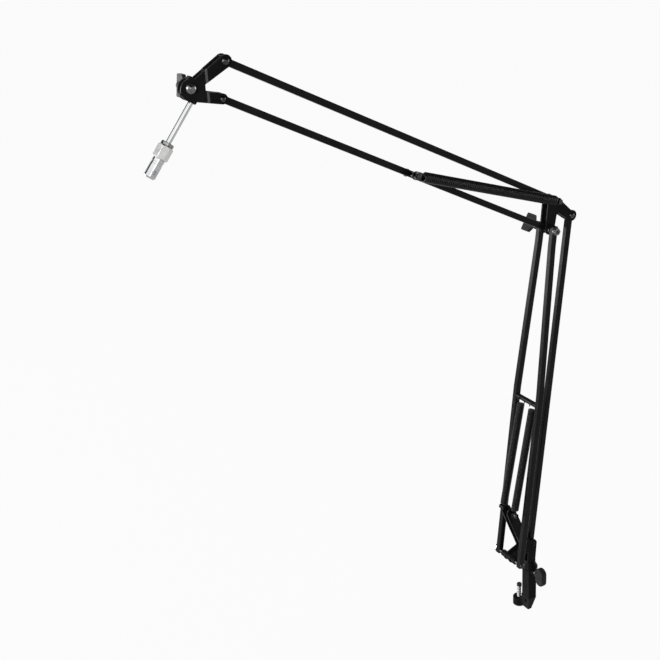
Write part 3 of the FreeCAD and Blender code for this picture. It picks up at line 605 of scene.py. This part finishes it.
def turned(name, stations, finish, sides=96, open_ends=False):
    """A piece turned about the rod's axis. A station is a radius and a height, each a number
    or each a function of the angle."""
    angles = [2 * math.pi * s / sides for s in range(sides)]
    corners = []
    for radius, height in stations:
        for a in angles:
            reach, level = (radius(a), height(a)) if callable(radius) else (radius, height)
            corners.append((reach * math.cos(a), reach * math.sin(a), level))
    faces = side_faces(len(stations), sides)
    top = len(corners) - sides
    if open_ends:
        faces += [[top + s, top + (s + 1) % sides, (s + 1) % sides, s] for s in range(sides)]
    else:
        faces += [list(reversed(range(sides))), [top + s for s in range(sides)]]
    mesh = bpy.data.meshes.new(name)
    mesh.from_pydata(corners, [], faces)
    mesh.polygons.foreach_set("use_smooth", [True] * len(faces))
    mesh.set_sharp_from_angle(angle=sharp_corner)
    mesh.transform(on_the_rod)
    mesh.materials.append(finish)
    return put_in_scene(name, mesh)


rod_radius = 0.0036
rod_top, rod_foot = 0.0112, -0.0923
rod_break = 0.0004
chrome_rod = turned("chrome_rod", [(rod_radius - rod_break, rod_foot),
                                   (rod_radius, rod_foot + rod_break),
                                   (rod_radius, rod_top - rod_break),
                                   (rod_radius - rod_break, rod_top)], chrome_plate)
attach(chrome_rod, "rod")
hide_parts("mic_rod")


# Lock collar: a ring turned from steel bar, polished and then blacked, so it stays dark
# between the plated pieces. It is pinned to the rod above the hexagon nut.
collar_steel = plain_finish("collar_steel", metal=1.0)
tint(collar_steel, size=0.004, dark=(0.15, 0.15, 0.153), light=(0.22, 0.22, 0.222))
dull_and_bright(collar_steel, size=0.008, low=0.12, high=0.17, detail=1.0)

collar_radius = 0.0086
collar_low, collar_high = -0.0759, -0.0713
collar_break = 0.0006
collar_gap = 0.00002
collar_bore = rod_radius + collar_gap
turned_collar = turned("turned_collar", [(collar_bore, collar_low),
                                         (collar_radius - collar_break, collar_low),
                                         (collar_radius, collar_low + collar_break),
                                         (collar_radius, collar_high - collar_break),
                                         (collar_radius - collar_break, collar_high),
                                         (collar_bore, collar_high)],
                       collar_steel, open_ends=True)
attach(turned_collar, "rod")
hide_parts("lock_collar")


# Adapter's lock nut: hexagon brass bar, bored, faced and with its corners turned off, under
# a satin nickel plate. It turns on the adapter's hub and locks whatever is screwed on the
# stud.
nickel_plate = plain_finish("nickel_plate", metal=1.0)
tint(nickel_plate, size=0.006, dark=(0.47, 0.47, 0.465), light=(0.53, 0.53, 0.525))
dull_and_bright(nickel_plate, size=0.012, low=0.46, high=0.52, detail=1.0)

nut_flats = 0.0186
nut_low, nut_high = -0.0940, -0.0760
nut_bore = 0.00605
nut_corner_break = 0.0003
nut_face_radius = nut_flats / 2 - nut_corner_break
nut_sides = 144
first_corner = math.radians(45)


def nut_reach(angle):
    """Distance of the hexagon's side from the axis, with its corners broken."""
    from_face = (angle - first_corner) % (math.pi / 3) - math.pi / 6
    return min(nut_flats / 2 / math.cos(from_face), nut_flats / math.sqrt(3) - nut_corner_break)


def nut_bevel(angle):
    """How far the turned-off corner runs down the hexagon's side."""
    return nut_reach(angle) - nut_flats / 2 + nut_corner_break


hexagon_nut = turned("hexagon_nut", [(nut_bore, nut_low), (nut_face_radius, nut_low),
                                     (nut_reach, lambda a: nut_low + nut_bevel(a)),
                                     (nut_reach, lambda a: nut_high - nut_bevel(a)),
                                     (nut_face_radius, nut_high), (nut_bore, nut_high)],
                     nickel_plate, sides=nut_sides, open_ends=True)
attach(hexagon_nut, "adapter_nut")
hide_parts("adapter_nut")


# Thread adapter: turned from steel bar with a waist under its shoulder, and chrome plated
# like the rod. It is pressed on the rod's foot; a pin through the cross hole turns it.
stud_radius = 0.00794
stud_low, stud_high = -0.1211, -0.0941
stud_break, stud_chamfer = 0.0003, 0.002
waist_from, waist_to, waist_depth = 0.005, 0.0075, 0.00035
waist_high, waist_low = stud_high - waist_from, stud_high - waist_to
waist_radius = stud_radius - waist_depth
hub_radius, hub_high = 0.006, -0.0760
plain_high, plain_low = waist_low - stud_break, stud_low + stud_chamfer
plain_steps = 40
plain_rows = [(stud_radius, plain_high + (plain_low - plain_high) * k / plain_steps)
              for k in range(plain_steps + 1)]
stud_stations = ([(hub_radius, hub_high), (hub_radius, stud_high),
                  (stud_radius - stud_break, stud_high), (stud_radius, stud_high - stud_break),
                  (stud_radius, waist_high + stud_break), (waist_radius, waist_high),
                  (waist_radius, waist_low)] + plain_rows
                 + [(stud_radius - stud_chamfer, stud_low)])
chrome_stud = turned("chrome_stud", list(reversed(stud_stations)), chrome_plate)

cross_hole_radius, cross_hole_depth, cross_hole_level = 0.0026, 0.003, -0.1121
cross_hole_sides = 48
drill_mesh = bpy.data.meshes.new("drill")
drill_skin = bmesh.new()
bmesh.ops.create_cone(drill_skin, cap_ends=True, segments=cross_hole_sides,
                      radius1=cross_hole_radius, radius2=cross_hole_radius,
                      depth=cross_hole_depth * 2)
drill_skin.transform(on_the_rod @ Matrix.Translation((0, -stud_radius, cross_hole_level))
                     @ Matrix.Rotation(math.radians(90), 4, "X"))
drill_skin.to_mesh(drill_mesh)
drill_skin.free()
drill = put_in_scene("drill", drill_mesh)
cut = chrome_stud.modifiers.new("cross_hole", "BOOLEAN")
cut.operation = "DIFFERENCE"
cut.solver = "EXACT"
cut.object = drill
drilled_stud = chrome_stud.evaluated_get(bpy.context.evaluated_depsgraph_get())
drilled = bpy.data.meshes.new_from_object(drilled_stud)
chrome_stud.modifiers.clear()
chrome_stud.data = drilled
drilled.polygons.foreach_set("use_smooth", [True] * len(drilled.polygons))
drilled.set_sharp_from_angle(angle=sharp_corner)
bpy.data.objects.remove(drill)
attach(chrome_stud, "rod")
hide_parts("thread_adapter")


# Stage: a round sheet of white paper, turned up at its far edge for a backdrop, soft lamps
# to the left and right, a long lamp that draws the light band down the rod, and the camera
# at the photograph's angle.
floor_gap = 0.001
floor_level = cad_box[0].z - floor_gap
floor_reach, backdrop_height, floor_sides = 60.0, 24.0, 72
floor_angles = [2 * math.pi * s / floor_sides for s in range(floor_sides)]
floor_mesh = bpy.data.meshes.new("floor")
floor_mesh.from_pydata([(floor_reach * math.cos(a), floor_reach * math.sin(a), level)
                        for level in (floor_level, floor_level + backdrop_height)
                        for a in floor_angles], [],
                       [list(range(floor_sides))] + side_faces(2, floor_sides))
floor = put_in_scene("floor", floor_mesh)

paper_shade, paper_roughness, paper_white = 0.22, 0.9, 0.96
white_paper = bpy.data.materials.new("white_paper")
white_paper.use_nodes = True
paper_nodes, paper_links = white_paper.node_tree.nodes, white_paper.node_tree.links
paper = paper_nodes["Principled BSDF"]
paper.inputs["Base Color"].default_value = (paper_shade, paper_shade, paper_shade, 1)
paper.inputs["Roughness"].default_value = paper_roughness
glow = paper_nodes.new("ShaderNodeEmission")
glow.inputs["Color"].default_value = (1, 1, 1, 1)
glow.inputs["Strength"].default_value = 1.0
ray = paper_nodes.new("ShaderNodeLightPath")
seen = paper_nodes.new("ShaderNodeMath")
seen.operation = "MAXIMUM"
seen_too = paper_nodes.new("ShaderNodeMath")
seen_too.operation = "MAXIMUM"
white_share = paper_nodes.new("ShaderNodeMath")
white_share.operation = "MULTIPLY"
white_share.inputs[1].default_value = paper_white
lit_paper = paper_nodes.new("ShaderNodeMixShader")
paper_links.new(ray.outputs["Is Camera Ray"], seen.inputs[0])
paper_links.new(ray.outputs["Is Glossy Ray"], seen.inputs[1])
paper_links.new(seen.outputs[0], seen_too.inputs[0])
paper_links.new(ray.outputs["Is Transmission Ray"], seen_too.inputs[1])
paper_links.new(seen_too.outputs[0], white_share.inputs[0])
paper_links.new(white_share.outputs[0], lit_paper.inputs["Fac"])
paper_links.new(paper.outputs["BSDF"], lit_paper.inputs[1])
paper_links.new(glow.outputs["Emission"], lit_paper.inputs[2])
paper_links.new(lit_paper.outputs["Shader"], paper_nodes["Material Output"].inputs["Surface"])
floor_mesh.materials.append(white_paper)

room = bpy.data.worlds.new("room")
room.use_nodes = True
room_light = room.node_tree.nodes["Background"]
room_light.inputs["Color"].default_value = (0.9, 0.92, 0.95, 1)
room_light.inputs["Strength"].default_value = 0.12
bpy.context.scene.world = room

arm_middle = (-0.25, -0.03, 0.5)


def soft_lamp(name, place, size, watts, aim=arm_middle, length_along=(0, 0, 1)):
    """A flat soft lamp; its first size lies as nearly as can be along the given direction."""
    lamp = bpy.data.lights.new(name, "AREA")
    lamp.shape = "RECTANGLE"
    lamp.size, lamp.size_y = size
    lamp.energy = watts
    stand = put_in_scene(name, lamp)
    stand.location = place
    stand.visible_camera = False
    back = (stand.location - Vector(aim)).normalized()
    long_side = Vector(length_along)
    long_side = (long_side - back * long_side.dot(back)).normalized()
    facing = Matrix((long_side, back.cross(long_side), back)).transposed()
    stand.rotation_euler = facing.to_euler()


soft_lamp("left_lamp", place=(-2.2, 1.6, 0.6), size=(1.6, 2.4), watts=80)
soft_lamp("front_left_lamp", place=(-2.58, -0.78, 1.32), size=(1.0, 1.0), watts=44)
soft_lamp("front_right_lamp", place=(2.13, -0.53, 0.75), size=(0.8, 0.8), watts=16)
soft_lamp("rod_lamp", place=(-1.31, -0.68, 1.53), size=(2.8, 0.5), watts=8.4,
          aim=rod_middle, length_along=(0.4255, -0.842, -0.3326))

camera_place = (-1.03763, -1.30543, 1.12169)
camera_turn = (68.2078, 3.2474, -29.009)
camera = bpy.data.cameras.new("camera")
camera.sensor_width = 36.0
camera.lens = 59.326
viewer = put_in_scene("camera", camera)
viewer.location = camera_place
viewer.rotation_euler = [math.radians(angle) for angle in camera_turn]
bpy.context.scene.camera = viewer
bpy.context.scene.view_settings.view_transform = "Standard"
